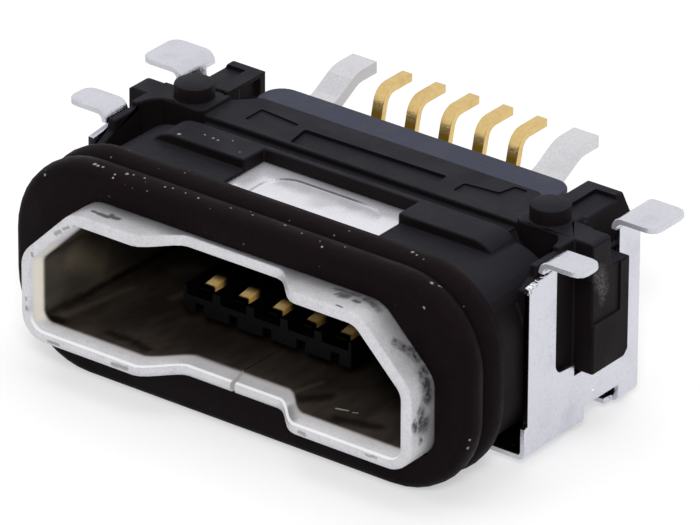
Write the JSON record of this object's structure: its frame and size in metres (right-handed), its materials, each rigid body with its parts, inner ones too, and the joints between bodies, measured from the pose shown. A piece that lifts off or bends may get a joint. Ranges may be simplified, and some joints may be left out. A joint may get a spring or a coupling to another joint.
{
  "type": "micro usb socket",
  "caption": "Sealed micro-B receptacle with a rubber ring round the mouth, a folded metal cover with solder feet, and a row of bent contact tails that solder to a circuit board.",
  "frame": {"origin": "centre of the bounding box's bottom face, under the middle of the housing", "axes": "+X across the mouth, to the right of someone who faces the mouth with the solder side up; +Y from the mouth to the solder tails, so the plug leaves along -Y; +Z towards the circuit board, which lies on the solder feet"},
  "size_m": [0.0098, 0.0066, 0.0036],
  "materials": {
    "shell_metal": "nickel-plated stainless sheet, dull satin, smudged at the lip",
    "black_moulding": "glass-filled black moulding, fine matte grain",
    "seal_rubber": "moulded silicone rubber, satin, with dust specks",
    "gold_plate": "gold flash over copper alloy",
    "tin_plate": "tin-plated sheet, soft satin",
    "slate_moulding": "blue-grey moulding, matte"
  },
  "bodies": {
    "root": {"inner_shell": "shell_metal", "housing": "black_moulding", "seal_ring": "seal_rubber", "tongue": "black_moulding", "rear_insulator": "slate_moulding", "cover": "tin_plate", "contact_1": "gold_plate", "contact_2": "gold_plate", "contact_3": "gold_plate", "contact_4": "gold_plate", "contact_5": "gold_plate"}
  },
  "joints": []
}
